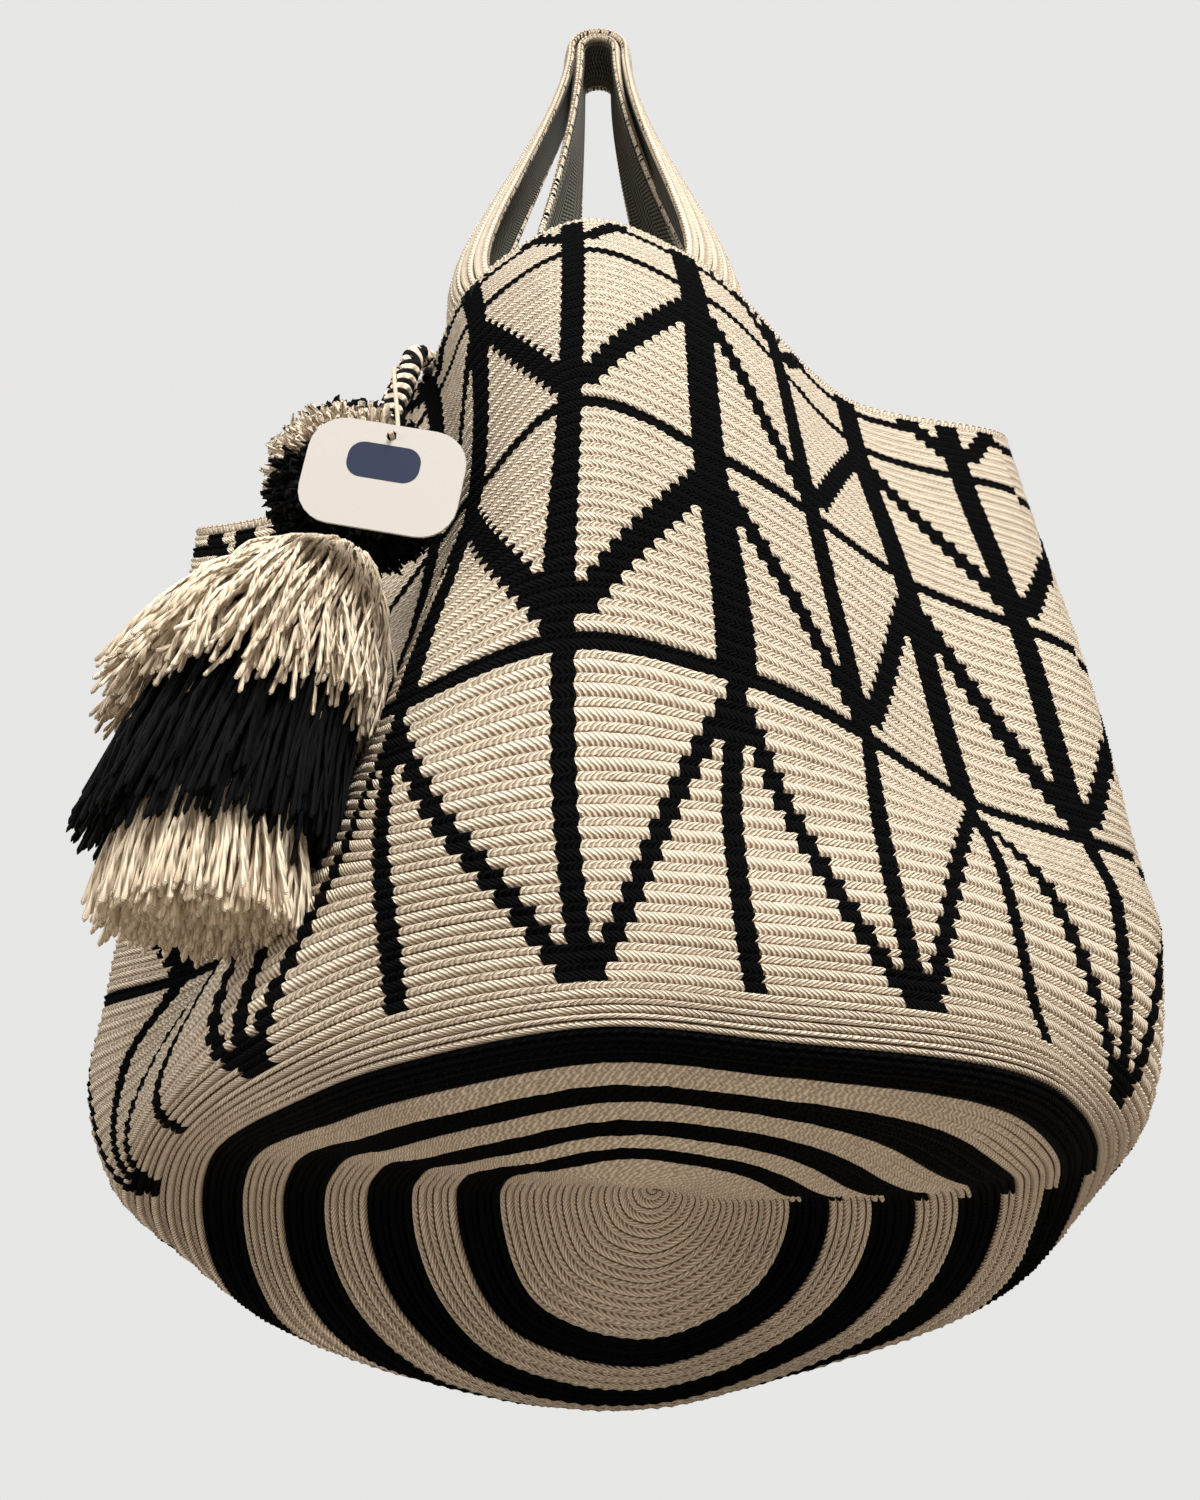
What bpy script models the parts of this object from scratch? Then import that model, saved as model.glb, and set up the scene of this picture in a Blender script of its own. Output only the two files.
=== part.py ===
"""A crocheted mochila bag as it hangs from a hook, with two lined handles, a tassel and a swing tag.

Origin at the top of the hook, +X to the right, +Y towards the wall, +Z up.
A place on the net is a column (16 to a round, 0 at the front, 8 at the rear) and a row (0 at the base).
"""
import math

import bmesh
import bpy
import numpy as np
from mathutils import Matrix, Vector

GAP = 0.0004               # air between two pieces that touch

# The net as it hangs
BAG_WIDTH = 0.322          # across the widest row
BAG_DEPTH = 0.215          # front bulge to rear pouch
BAG_HEIGHT = 0.352         # front of the rim to the lowest stitch
HANG_DROP = 0.247          # top of the hook to the front of the rim
WALL = 0.0035              # one layer of crochet
COLUMNS = 16               # columns of the pattern in a round
ROWS = 95                  # rows from the base's centre to the rim
NET_SIDES = 64             # faces in a round of the model
NET_BANDS = 26             # bands of faces from the base's centre to the rim
CREASE_COLUMN = 4.5        # the base folds up along a line from this column to its opposite
CREASE_LIFT = 0.008
CREASE_SPREAD = 0.7        # in columns
CREASE_ROWS = (5, 37)

# The hook and the handles on it
HOOK_RADIUS = 0.0058
BAND = 0.003               # crocheted layer of a handle
LINING = 0.0008            # webbing sewn on its inside
LINING_INSET = 0.05        # share of the band's width left bare at each edge
HOOK_REACH = 0.027         # width of a bunched band along the hook
CURL = 0.0025              # rise of a bunched band's middle over its edges
SEAM_ROW = 91.5            # a handle's end reaches down to this row, inside the net
SEAM_CLEARANCE = 0.0008    # between the net's inside and a handle's end
FRONT_PULLS = (0.12, 0.12)  # how far a leg keeps its direction above the net, and below the hook
REAR_PULLS = (0.06, 0.30)
BAND_FACES = 5
LEG_FACES = 9
TOP_FACES = 9
# (near edge's column, far edge's column) at the left and right end of each handle
FRONT_ENDS = ((-0.8, -2.2), (1.05, 2.35))
REAR_ENDS = ((9.15, 8.4), (6.75, 7.55))

# Thread that holds each handle's ends, whipped up and down over the join
SEAM_ROWS = (92.4, 94.2)
SEAM_TURNS = 9
THREAD_DIAMETER = 0.0014

# The tassel, hung on a twisted cord from a knot at the rim
KNOT_COLUMN = -1.95
KNOT_ROW = 93.5
KNOT_RADIUS = 0.006
CORD_DIAMETER = 0.0085
POMPOM_CENTRE = (-0.0700, -0.0855, -0.3655)
POMPOM_RADIUS = 0.0260
POMPOM_TUFT = 0.0012
UPPER_TOP = (-0.0730, -0.0870, POMPOM_CENTRE[2] - POMPOM_RADIUS - GAP)
UPPER_FOOT = (-0.0895, -0.0925, -0.4440)
UPPER_RADII = (0.013, 0.035)
MIDDLE_FOOT = (-0.0920, -0.0930, -0.4780)
MIDDLE_RADII = (0.026, 0.030)
LOWER_FOOT = (-0.0905, -0.0930, -0.5000)
LOWER_RADII = (0.022, 0.022)
FLUTES = 7                 # locks of yarn round a skirt
FLUTE_DEPTH = 0.05         # share of the radius
SKIRT_SIDES = 28
SKIRT_RINGS = 6
REST_CLEARANCE = 0.0009    # between the yarn and the net that it lies against

# The swing tag and its string
TAG_SIZE = (0.0400, 0.0285)
TAG_CORNER = 0.009
TAG_THICKNESS = 0.0008
TAG_CENTRE = (-0.0530, -0.1235, -0.3935)
TAG_LEAN = math.radians(15)
TAG_TURN = math.radians(10)
TAG_HOLE_RADIUS = 0.0014
TAG_HOLE_EDGE = 0.0030     # hole's centre to the card's top edge
STRING_DIAMETER = 0.0012
STRING_HEIGHT = 0.35       # where the string leaves the cord, as a share of the cord from its top
STRING_BOW = (0.0005, -0.0080, 0.0060)

# Cage of the hanging net, in millimetres, with Z measured from the front of the rim
CAGE_COLUMNS = (0, 1, 3, 5, 6.5, 8, 9.5, 11, 12.5, 14, 15)
CAGE_ROWS = (0, 11, 23, 32, 38, 46, 53, 70, 87, 95)
CAGE = (
    ((17, 13, -296),) * 11,
    ((8, -38, -295), (24, -34, -296), (46, -8, -298), (59, 26, -306), (45, 37, -324), (15, 40, -335),
     (-16, 36, -327), (-28, 24, -308), (-26, 4, -296), (-17, -16, -295), (-9, -28, -296)),
    ((3, -98, -293), (30, -88, -293), (77, -44, -297), (106, 18, -312), (80, 50, -335), (16, 58, -352),
     (-46, 48, -345), (-78, 24, -318), (-71, -10, -294), (-45, -58, -295), (-27, -80, -295)),
    ((0, -141, -289), (32, -131, -289), (107, -70, -286), (138, 10, -303), (114, 48, -322), (14, 74, -337),
     (-84, 52, -330), (-110, 20, -319), (-104, -18, -293), (-62, -88, -290), (-36, -116, -289)),
    ((-2, -140, -271), (30, -133, -271), (103, -78, -266), (152, -8, -282), (112, 44, -292), (13, 70, -302),
     (-92, 48, -300), (-130, 8, -303), (-120, -28, -289), (-79, -86, -275), (-40, -118, -269)),
    ((-5, -134, -238), (30, -122, -235), (103, -72, -229), (165, -12, -235), (107, 28, -252), (13, 50, -254),
     (-90, 40, -262), (-149, 8, -270), (-119, -22, -258), (-69, -76, -223), (-46, -114, -236)),
    ((-6, -128, -199), (34, -114, -200), (101, -62, -208), (166, -10, -210), (106, 24, -220), (14, 40, -222),
     (-88, 40, -230), (-151, 8, -242), (-103, -18, -232), (-60, -72, -191), (-45, -108, -203)),
    ((-5, -117, -116), (32, -102, -121), (98, -46, -123), (169, 0, -130), (106, 32, -138), (16, 36, -143),
     (-82, 42, -150), (-150, 8, -180), (-106, -14, -169), (-49, -56, -115), (-34, -88, -122)),
    ((-5, -98, -33), (32, -84, -36), (95, -24, -46), (166, 8, -49), (106, 38, -58), (16, 36, -62),
     (-82, 42, -72), (-151, 8, -99), (-106, -8, -97), (-55, -48, -43), (-39, -76, -36)),
    ((-6, -84, 0), (30, -72, -1), (96, -12, -9), (165, 12, -11), (104, 40, -20), (16, 34, -25),
     (-84, 40, -34), (-153, 10, -57), (-111, -8, -58), (-61, -42, -26), (-44, -64, -8)),
)

CREAM = (0.80, 0.71, 0.60)
BLACK = (0.012, 0.012, 0.013)
OLIVE = (0.060, 0.062, 0.050)
CARD = (0.86, 0.82, 0.80)


def cubic(knots, values, at, period=None):
    """Smooth curve through values at knots, read at the given places."""
    knots = np.asarray(knots, float)
    if period:
        at = np.mod(at, period)
        knots = np.concatenate([[knots[-1] - period], knots, [knots[0] + period, knots[1] + period]])
        values = np.concatenate([values[-1:], values, values[:2]])
    index = np.clip(np.searchsorted(knots, at, side="right") - 1, 0, len(knots) - 2)
    slopes = np.gradient(values, knots, axis=0)
    span = knots[index + 1] - knots[index]
    t = (at - knots[index]) / span
    shape = (-1,) + (1,) * (values.ndim - 1)
    t = np.reshape(t, shape)
    span = np.reshape(span, shape)
    return ((2 * t**3 - 3 * t**2 + 1) * values[index] + (t**3 - 2 * t**2 + t) * slopes[index] * span
            + (3 * t**2 - 2 * t**3) * values[index + 1] + (t**3 - t**2) * slopes[index + 1] * span)


def scaled_cage():
    """The cage in metres, stretched to the bag's width, depth and height."""
    cage = np.array(CAGE, float)
    drawn = np.ptp(cage, axis=(0, 1))
    cage *= np.array([BAG_WIDTH, BAG_DEPTH, BAG_HEIGHT]) / drawn
    cage[..., 2] -= HANG_DROP
    return cage


NET_CAGE = scaled_cage()


def net_grid(columns, rows):
    """Points of the net's outside, one line of them for each row."""
    columns = np.atleast_1d(np.asarray(columns, float))
    rows = np.atleast_1d(np.asarray(rows, float))
    rings = np.stack([cubic(CAGE_COLUMNS, ring, columns, COLUMNS) for ring in NET_CAGE])
    grid = cubic(CAGE_ROWS, rings, rows)
    side = np.abs(np.mod(columns + COLUMNS / 2, COLUMNS) - COLUMNS / 2)
    across = np.exp(-((side - CREASE_COLUMN) / CREASE_SPREAD) ** 2)
    along = np.clip((rows - CREASE_ROWS[0]) / (CREASE_ROWS[1] - CREASE_ROWS[0]), 0, 1)
    grid[..., 2] += CREASE_LIFT * np.outer(np.sin(np.pi * along), across)
    return grid


def net_point(column, row):
    """One point of the net's outside and the direction out of the net there."""
    step = 0.1
    low_row = min(row, ROWS - step)
    grid = net_grid([column - step, column, column + step], [low_row - step, low_row, low_row + step])
    out = np.cross(grid[1, 2] - grid[1, 0], grid[2, 1] - grid[0, 1])
    return net_grid(column, row)[0, 0], out / np.linalg.norm(out)


def outside_with_normals(columns, rows):
    """A patch of the net's outside as a list of points, with the direction out of the net at each."""
    grid = net_grid(columns, rows)
    outs = np.cross(np.gradient(grid, axis=1), np.gradient(grid, axis=0))
    outs /= np.linalg.norm(outs, axis=2, keepdims=True)
    return grid.reshape(-1, 3), outs.reshape(-1, 3)


LEFT_FLANK = outside_with_normals(np.linspace(-4.5, -0.6, 40), np.linspace(30, ROWS, 66))


def clear_of_net(points):
    """Push points out of the net until they clear its left flank."""
    wall, outs = LEFT_FLANK
    for k, point in enumerate(points):
        nearest = np.argmin(np.linalg.norm(wall - point, axis=1))
        height = np.dot(point - wall[nearest], outs[nearest])
        if height < REST_CLEARANCE:
            points[k] = point + outs[nearest] * (REST_CLEARANCE - height)
    return points


def new_collection(name):
    collection = bpy.data.collections.new(name)
    bpy.context.scene.collection.children.link(collection)
    return collection


def material(name, colour, roughness):
    found = bpy.data.materials.get(name)
    if found:
        return found
    made = bpy.data.materials.new(name)
    made.use_nodes = True
    shader = made.node_tree.nodes["Principled BSDF"]
    shader.inputs["Base Color"].default_value = (*colour, 1)
    shader.inputs["Roughness"].default_value = roughness
    shader.inputs["Metallic"].default_value = 0
    made.diffuse_color = (*colour, 1)
    return made


def add_object(name, data, finish, collection):
    made = bpy.data.objects.new(name, data)
    data.materials.append(finish)
    collection.objects.link(made)
    return made


def mesh_object(name, bm, finish, collection):
    mesh = bpy.data.meshes.new(name)
    bm.to_mesh(mesh)
    bm.free()
    mesh.shade_smooth()
    return add_object(name, mesh, finish, collection)


def face_away_from_middle(bm):
    """Turn an open sheet's faces so that they look away from its middle."""
    bm.normal_update()
    middle = sum((vert.co for vert in bm.verts), Vector()) / len(bm.verts)
    facing = sum(face.normal.dot(face.calc_center_median() - middle) * face.calc_area() for face in bm.faces)
    if facing < 0:
        bmesh.ops.reverse_faces(bm, faces=bm.faces)


def loft(bm, grid, closed):
    """Faces between the lines of a grid of points; closed joins each line's end to its start."""
    lines = [[bm.verts.new(point) for point in line] for line in grid]
    for lower, upper in zip(lines, lines[1:]):
        count = len(lower)
        for k in range(count if closed else count - 1):
            following = (k + 1) % count
            bm.faces.new((lower[k], lower[following], upper[following], upper[k]))
    return lines


def fan(bm, line, centre):
    """Close a ring of vertices with faces to a centre point."""
    hub = bm.verts.new(centre)
    for k, vert in enumerate(line):
        bm.faces.new((vert, line[(k + 1) % len(line)], hub))


def add_thickness(piece, thickness):
    solidify = piece.modifiers.new("thickness", "SOLIDIFY")
    solidify.thickness = thickness
    solidify.offset = -1
    solidify.use_even_offset = False
    return solidify


def make_net(collection):
    """The whole crocheted bag: base, wall and rim in one piece, open at the top."""
    columns = np.arange(NET_SIDES) * COLUMNS / NET_SIDES
    rows = np.linspace(0, ROWS, NET_BANDS + 1)
    grid = net_grid(columns, rows)
    bm = bmesh.new()
    lines = loft(bm, grid[1:], closed=True)
    fan(bm, lines[0][::-1], grid[0, 0])
    face_away_from_middle(bm)
    net = mesh_object("bag_net", bm, material("cream_crochet", CREAM, 0.9), collection)
    add_thickness(net, WALL)


def leg_lines(columns, hook_points, pulls):
    """One leg of a handle: from its seam inside the net up to the hook, a line for each place across."""
    legs = []
    for column, top in zip(columns, hook_points):
        seam = []
        for row in (SEAM_ROW, (SEAM_ROW + ROWS) / 2, ROWS):
            point, out = net_point(column, row)
            seam.append(point - out * (WALL + SEAM_CLEARANCE))
        start = seam[-1]
        rise = (start - seam[0]) / np.linalg.norm(start - seam[0]) * pulls[0]
        pull = np.array([0, 0, pulls[1]])
        run = []
        for t in np.arange(1, LEG_FACES) / LEG_FACES:
            run.append((2 * t**3 - 3 * t**2 + 1) * start + (t**3 - 2 * t**2 + t) * rise
                       + (3 * t**2 - 2 * t**3) * top + (t**3 - t**2) * pull)
        legs.append(seam + run)
    return np.swapaxes(np.array(legs), 0, 1)


def handle_grid(ends, radius, pulls):
    """Outer face of a handle whose edges pass over the hook at this radius."""
    across = np.linspace(0, 1, BAND_FACES + 1)
    radii = radius + CURL * 4 * across * (1 - across)
    reach = HOOK_REACH * across

    def over_hook(angle):
        return np.stack([radii * math.cos(angle), reach, radii * math.sin(angle) - HOOK_RADIUS], axis=1)

    left, right = (near + (far - near) * across for near, far in ends)
    up = leg_lines(left, over_hook(math.pi), pulls)
    down = leg_lines(right, over_hook(0), pulls)
    top = np.array([over_hook(math.pi * (1 - k / TOP_FACES)) for k in range(TOP_FACES + 1)])
    return np.concatenate([up, top, down[::-1]])


def inward(grid, depth):
    """The same grid moved by a depth towards the inside of its loop."""
    along = np.gradient(grid, axis=0)
    across = np.gradient(grid, axis=1)
    normals = np.cross(along, across)
    normals /= np.linalg.norm(normals, axis=2, keepdims=True)
    facing = np.sum(normals * (grid - grid.mean(axis=(0, 1))))
    return grid - normals * math.copysign(depth, facing)


def inset(grid, share):
    """The same grid, with a share of its width cut off at each edge."""
    faces = grid.shape[1] - 1
    places = np.linspace(share, 1 - share, faces + 1) * faces
    low = np.minimum(places.astype(int), faces - 1)
    part = (places - low)[None, :, None]
    return grid[:, low] * (1 - part) + grid[:, low + 1] * part


def make_strap_layer(name, grid, thickness, finish, collection):
    bm = bmesh.new()
    loft(bm, grid, closed=False)
    face_away_from_middle(bm)
    add_thickness(mesh_object(name, bm, finish, collection), thickness)


def make_handle(side, ends, radius, pulls, collection):
    """A handle is a crocheted band with a webbing lining sewn on its inside."""
    grid = handle_grid(ends, radius, pulls)
    make_strap_layer(f"{side}_handle", grid, BAND, material("cream_crochet", CREAM, 0.9), collection)
    lining = inset(inward(grid, BAND + GAP), LINING_INSET)
    make_strap_layer(f"{side}_handle_lining", lining, LINING, material("olive_webbing", OLIVE, 0.85), collection)


def make_tube(name, points, diameter, sides, finish, collection):
    curve = bpy.data.curves.new(name, "CURVE")
    curve.dimensions = "3D"
    curve.bevel_depth = diameter / 2
    curve.bevel_resolution = sides
    curve.use_fill_caps = True
    spline = curve.splines.new("POLY")
    spline.points.add(len(points) - 1)
    for target, point in zip(spline.points, points):
        target.co = (*point, 1)
    return add_object(name, curve, finish, collection)


def make_seam(name, near, far, collection):
    """Dark thread whipped over one end of a handle, on the net's outside."""
    points = []
    for k, column in enumerate(np.linspace(near, far, 2 * SEAM_TURNS + 1)):
        point, out = net_point(column, SEAM_ROWS[k % 2])
        points.append(point + out * (THREAD_DIAMETER / 2 + GAP))
    make_tube(name, points, THREAD_DIAMETER, 2, material("black_yarn", BLACK, 0.95), collection)


def knot_centre():
    """The knot lies on the seam's thread, just under the rim."""
    point, out = net_point(KNOT_COLUMN, KNOT_ROW)
    return point + out * (KNOT_RADIUS + THREAD_DIAMETER + 2 * GAP)


def cord_points():
    """From just under the knot to just above the pompom, in line with both their centres."""
    start = knot_centre()
    pompom = np.array(POMPOM_CENTRE)
    along = (pompom - start) / np.linalg.norm(pompom - start)
    top = start + along * (KNOT_RADIUS + GAP)
    foot = pompom - along * (POMPOM_RADIUS + GAP)
    return np.array([top + (foot - top) * t for t in np.linspace(0, 1, 7)])


def make_cord_and_knot(collection):
    bm = bmesh.new()
    place = Matrix.Translation(Vector(knot_centre()))
    bmesh.ops.create_icosphere(bm, subdivisions=2, radius=KNOT_RADIUS, matrix=place)
    twisted = material("twisted_cord", BLACK, 0.95)
    mesh_object("cord_knot", bm, twisted, collection)
    make_tube("tassel_cord", cord_points(), CORD_DIAMETER, 2, twisted, collection)


def make_pompom(collection):
    """A ball of cut yarn, a little tufted."""
    bm = bmesh.new()
    bmesh.ops.create_uvsphere(bm, u_segments=22, v_segments=12, radius=POMPOM_RADIUS)
    for vert in bm.verts:
        around = math.atan2(vert.co.y, vert.co.x)
        height = vert.co.z / POMPOM_RADIUS
        tuft = math.sin(11 * around) * math.sin(9 * height) * (1 - height ** 2)
        vert.co *= 1 + tuft * POMPOM_TUFT / POMPOM_RADIUS
    points = np.array([vert.co + Vector(POMPOM_CENTRE) for vert in bm.verts])
    for vert, point in zip(bm.verts, clear_of_net(points)):
        vert.co = point
    mesh_object("pompom", bm, material("black_yarn", BLACK, 0.95), collection)


def make_skirt(name, top, foot, radii, finish, collection):
    """A bundle of cut yarn, fluted by its locks, from its tied top to its cut ends."""
    top = np.array(top)
    foot = np.array(foot)
    angles = np.arange(SKIRT_SIDES) * 2 * math.pi / SKIRT_SIDES
    grid = []
    for t in np.linspace(0, 1, SKIRT_RINGS):
        swell = radii[0] + (radii[1] - radii[0]) * math.sin(t * math.pi / 2)
        radius = swell * (1 + FLUTE_DEPTH * t * np.cos(FLUTES * angles))
        centre = top + (foot - top) * t
        ring = np.stack([radius * np.cos(angles), radius * np.sin(angles), np.zeros(SKIRT_SIDES)], axis=1)
        grid.append(clear_of_net(centre + ring))
    bm = bmesh.new()
    lines = loft(bm, grid, closed=True)
    fan(bm, lines[0][::-1], grid[0].mean(axis=0))
    fan(bm, lines[-1], grid[-1].mean(axis=0))
    bmesh.ops.recalc_face_normals(bm, faces=bm.faces)
    mesh_object(name, bm, finish, collection)


def make_tassel(collection):
    """Pompom above three skirts of cut yarn, each hung just under the one above."""
    cream = material("cream_yarn", CREAM, 0.95)
    black = material("black_yarn", BLACK, 0.95)
    make_pompom(collection)
    below = np.array([0, 0, -2 * GAP])
    make_skirt("skirt_upper", UPPER_TOP, UPPER_FOOT, UPPER_RADII, cream, collection)
    make_skirt("skirt_middle", UPPER_FOOT + below, MIDDLE_FOOT, MIDDLE_RADII, black, collection)
    make_skirt("skirt_lower", MIDDLE_FOOT + below, LOWER_FOOT, LOWER_RADII, cream, collection)


def rounded_rectangle(width, height, corner, corner_points=7):
    """Outline points of a card with round corners."""
    outline = []
    for quarter in range(4):
        sign_x = 1 if quarter in (0, 3) else -1
        sign_y = 1 if quarter in (0, 1) else -1
        centre = (sign_x * (width / 2 - corner), sign_y * (height / 2 - corner))
        for k in range(corner_points):
            angle = (quarter + k / (corner_points - 1)) * math.pi / 2
            outline.append((centre[0] + corner * math.cos(angle), centre[1] + corner * math.sin(angle)))
    return outline


def tag_place():
    """The card stands upright, its top leant forward and its right side turned down."""
    return (Matrix.Translation(TAG_CENTRE) @ Matrix.Rotation(TAG_LEAN, 4, "X")
            @ Matrix.Rotation(TAG_TURN, 4, "Y") @ Matrix.Rotation(math.pi / 2, 4, "X"))


def tag_hole():
    return (0, TAG_SIZE[1] / 2 - TAG_HOLE_EDGE)


def make_tag(collection):
    """A card with a hole near its top edge, on a string that goes back to the cord."""
    card = bpy.data.curves.new("hang_tag", "CURVE")
    card.dimensions = "2D"
    card.fill_mode = "BOTH"
    card.extrude = TAG_THICKNESS / 2
    hole = tag_hole()
    ring = [2 * math.pi * k / 12 for k in range(12)]
    hole_outline = [(hole[0] + TAG_HOLE_RADIUS * math.cos(a), hole[1] + TAG_HOLE_RADIUS * math.sin(a))
                    for a in ring]
    for outline in (rounded_rectangle(*TAG_SIZE, TAG_CORNER), hole_outline):
        spline = card.splines.new("POLY")
        spline.points.add(len(outline) - 1)
        spline.use_cyclic_u = True
        for target, (x, y) in zip(spline.points, outline):
            target.co = (x, y, 0, 1)
    add_object("hang_tag", card, material("card", CARD, 0.6), collection).matrix_world = tag_place()
    make_tube("tag_string", string_points(), STRING_DIAMETER, 2, material("cream_yarn", CREAM, 0.95), collection)


def string_points():
    """From the cord's front over the pompom and through the hole in the card."""
    cord = cord_points()
    hung = cord[0] + (cord[-1] - cord[0]) * STRING_HEIGHT
    start = hung + np.array([0, -1, 0]) * (CORD_DIAMETER / 2 + STRING_DIAMETER)
    place = tag_place()
    front = np.array(place @ Vector((*tag_hole(), TAG_THICKNESS * 3)))
    back = np.array(place @ Vector((*tag_hole(), -TAG_THICKNESS * 3)))
    middle = (start + back) / 2 + np.array(STRING_BOW)
    route = np.array([start, middle, back, front])
    reach = np.concatenate([[0], np.cumsum(np.linalg.norm(np.diff(route, axis=0), axis=1))])
    return cubic(reach, route, np.linspace(0, reach[-1], 16))


def build():
    for old in list(bpy.data.objects):
        bpy.data.objects.remove(old)
    collection = new_collection("mochila_bag")
    rear_radius = HOOK_RADIUS + LINING + GAP + BAND
    front_radius = rear_radius + GAP + LINING + GAP + BAND
    make_net(collection)
    handles = (("front", FRONT_ENDS, front_radius, FRONT_PULLS), ("rear", REAR_ENDS, rear_radius, REAR_PULLS))
    for side, ends, radius, pulls in handles:
        make_handle(side, ends, radius, pulls, collection)
        for end, (near, far) in zip(("left", "right"), ends):
            make_seam(f"{side}_handle_seam_{end}", near, far, collection)
    make_cord_and_knot(collection)
    make_tassel(collection)
    make_tag(collection)


build()
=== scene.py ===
"""Looks of a crocheted mochila bag that hangs from a hook: its stitches, handles, tassel and swing tag.

Same frame as the part: metres, origin at the top of the hook, +X right, +Y towards the wall, +Z up.
A place on the net is a column (16 to a round, 0 at the front) and a row of the hanging shape (95 to the rim).
"""
import math

import bpy
import numpy as np
from mathutils import Matrix, Vector


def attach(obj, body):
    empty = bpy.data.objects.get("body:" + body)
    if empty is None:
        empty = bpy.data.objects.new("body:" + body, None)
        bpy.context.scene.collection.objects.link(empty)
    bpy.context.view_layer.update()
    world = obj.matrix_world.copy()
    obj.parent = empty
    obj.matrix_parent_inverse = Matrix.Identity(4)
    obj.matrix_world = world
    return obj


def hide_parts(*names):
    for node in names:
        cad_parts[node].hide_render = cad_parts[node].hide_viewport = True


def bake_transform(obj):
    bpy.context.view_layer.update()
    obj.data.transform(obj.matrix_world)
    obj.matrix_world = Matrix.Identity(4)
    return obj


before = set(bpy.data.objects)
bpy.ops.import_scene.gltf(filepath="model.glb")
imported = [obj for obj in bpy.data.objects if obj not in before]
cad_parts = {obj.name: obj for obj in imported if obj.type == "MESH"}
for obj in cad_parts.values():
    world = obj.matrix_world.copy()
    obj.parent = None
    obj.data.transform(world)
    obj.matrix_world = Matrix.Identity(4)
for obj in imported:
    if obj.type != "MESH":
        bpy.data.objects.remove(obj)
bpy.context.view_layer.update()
rng = np.random.default_rng(7)

# The net as it hangs, as in the part
BAG_WIDTH = 0.322
BAG_DEPTH = 0.215
BAG_HEIGHT = 0.352
HANG_DROP = 0.247
WALL = 0.0035
COLUMNS = 16
SHAPE_ROWS = 95
CREASE_COLUMN = 4.5
CREASE_LIFT = 0.008
CREASE_SPREAD = 0.7
CREASE_ROWS = (5, 37)
CAGE_COLUMNS = (0, 1, 3, 5, 6.5, 8, 9.5, 11, 12.5, 14, 15)
CAGE_ROWS = (0, 11, 23, 32, 38, 46, 53, 70, 87, 95)
# Millimetres, with Z measured from the front of the rim
CAGE = (
    ((17, 13, -296),) * 11,
    ((8, -38, -295), (24, -34, -296), (46, -8, -298), (59, 26, -306), (45, 37, -324), (15, 40, -335),
     (-16, 36, -327), (-28, 24, -308), (-26, 4, -296), (-17, -16, -295), (-9, -28, -296)),
    ((3, -98, -293), (30, -88, -293), (77, -44, -297), (106, 18, -312), (80, 50, -335), (16, 58, -352),
     (-46, 48, -345), (-78, 24, -318), (-71, -10, -294), (-45, -58, -295), (-27, -80, -295)),
    ((0, -141, -289), (32, -131, -289), (107, -70, -286), (138, 10, -303), (114, 48, -322), (14, 74, -337),
     (-84, 52, -330), (-110, 20, -319), (-104, -18, -293), (-62, -88, -290), (-36, -116, -289)),
    ((-2, -140, -271), (30, -133, -271), (103, -78, -266), (152, -8, -282), (112, 44, -292), (13, 70, -302),
     (-92, 48, -300), (-130, 8, -303), (-120, -28, -289), (-79, -86, -275), (-40, -118, -269)),
    ((-5, -134, -238), (30, -122, -235), (103, -72, -229), (165, -12, -235), (107, 28, -252), (13, 50, -254),
     (-90, 40, -262), (-149, 8, -270), (-119, -22, -258), (-69, -76, -223), (-46, -114, -236)),
    ((-6, -128, -199), (34, -114, -200), (101, -62, -208), (166, -10, -210), (106, 24, -220), (14, 40, -222),
     (-88, 40, -230), (-151, 8, -242), (-103, -18, -232), (-60, -72, -191), (-45, -108, -203)),
    ((-5, -117, -116), (32, -102, -121), (98, -46, -123), (169, 0, -130), (106, 32, -138), (16, 36, -143),
     (-82, 42, -150), (-150, 8, -180), (-106, -14, -169), (-49, -56, -115), (-34, -88, -122)),
    ((-5, -98, -33), (32, -84, -36), (95, -24, -46), (166, 8, -49), (106, 38, -58), (16, 36, -62),
     (-82, 42, -72), (-151, 8, -99), (-106, -8, -97), (-55, -48, -43), (-39, -76, -36)),
    ((-6, -84, 0), (30, -72, -1), (96, -12, -9), (165, 12, -11), (104, 40, -20), (16, 34, -25),
     (-84, 40, -34), (-153, 10, -57), (-111, -8, -58), (-61, -42, -26), (-44, -64, -8)),
)

# Rounds of real stitches, and the rows of the hanging shape that they reach
ROUND_STITCHES = 240
BASE_ROUNDS = 35
ROUNDS = 92
ROUND_MARKS = (0, 35, 50.5, 67.5, 84.5, 92)
SHAPE_MARKS = (0, 35, 53, 70, 87, 94.4)
SPIRAL_COLUMN = 4.5        # where one round steps up to the next
SPIRAL_FADE = 84           # rounds above this one lose the step
RING_ROUNDS = (50, 67, 84)
TIER_BOTTOMS = (35, 52, 69, 87)
TIER_TOPS = (50, 67, 84, 92)
RIM_LINE = 90
RIM_LINE_GAP = 5           # the rim's line starts this many stitches from an even column
BASE_BLACK = ((11, 14), (17, 20), (23, 26), (29, 32))
COLUMN_STITCHES = 15
FEWEST_STITCHES = 8
FINE_ROUND = 60            # rounds with fewer stitches than this have lower ones
ROUND_MARGIN = 0.02        # how near the centre the stitches start, and how far they may pass the rim
INSIDE_START = 0.3
INSIDE_INSET = 0.0002      # how deep the net's inner face lies in its wall
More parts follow.
